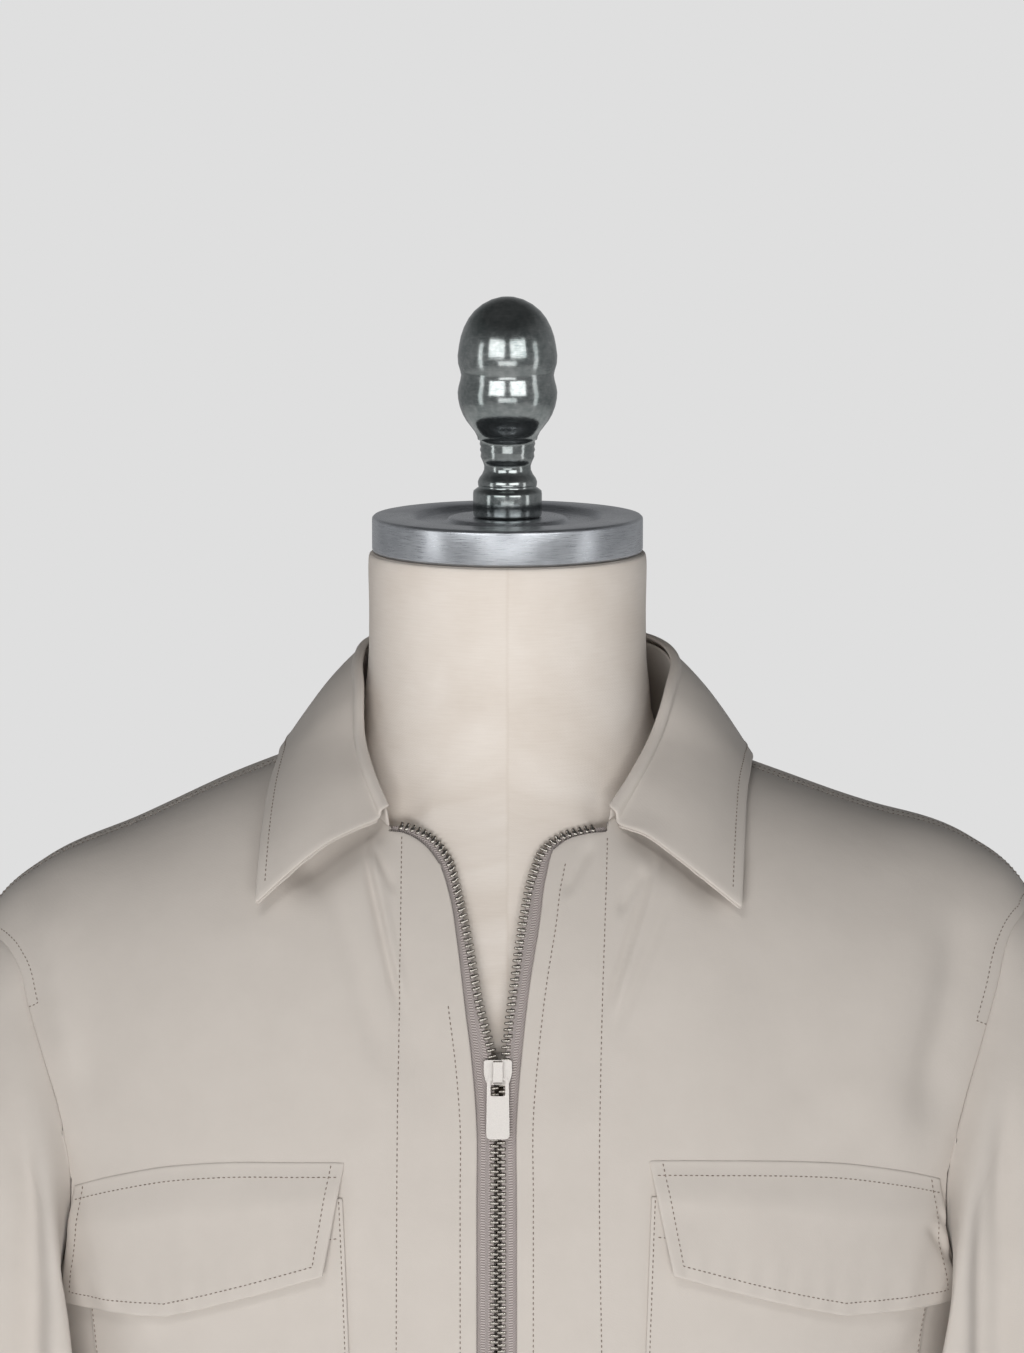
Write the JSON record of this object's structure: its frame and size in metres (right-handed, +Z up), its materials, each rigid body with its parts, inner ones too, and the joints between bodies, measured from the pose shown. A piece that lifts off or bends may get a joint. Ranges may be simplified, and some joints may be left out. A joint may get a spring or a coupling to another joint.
{
  "type": "zip-front overshirt on a dress form",
  "caption": "Light stone overshirt with a turn-down collar, a part-open front zip and flapped chest pockets, worn on a linen-covered dress form with a metal neck cap, finial and round base.",
  "frame": {"origin": "on the floor, under the middle of the box round the part, which is the middle of the round base", "axes": "+Z up; the front of the garment faces -Y; +X is the wearer's left, on the right in the picture"},
  "size_m": [0.578, 0.38, 1.1516],
  "materials": {
    "cloth": "smooth matt technical cloth, light stone taupe",
    "tape": "woven herringbone zip tape, grey mauve",
    "linen": "natural linen stretched over the form",
    "aluminium": "brushed",
    "cast_metal": "polished dark casting",
    "zip_metal": "polished nickel"
  },
  "bodies": {
    "garment_and_form": {"front_left": "cloth", "front_right": "cloth", "back": "cloth", "sleeve_left": "cloth", "sleeve_right": "cloth", "collar_stand": "cloth", "collar_leaf": "cloth", "pocket_left": "cloth", "pocket_right": "cloth", "pocket_flap_left": "cloth", "pocket_flap_right": "cloth", "zip_tape_left": "tape", "zip_tape_right": "tape", "zip_slider": "zip_metal", "zip_box": "zip_metal", "form_torso": "linen", "form_cap": "aluminium", "form_finial": "cast_metal", "form_pole": "aluminium", "form_flange": "aluminium", "form_base": "cast_metal"},
    "pull_tab": {"zip_pull_tab": "zip_metal"}
  },
  "joints": [
    {"name": "pull_tab_hinge", "type": "hinge", "parent": "garment_and_form", "child": "pull_tab", "pos_m": [-0.004, -0.12234, 0.82987], "axis": [-1, 0, 0], "range_deg": [0, 150]}
  ]
}
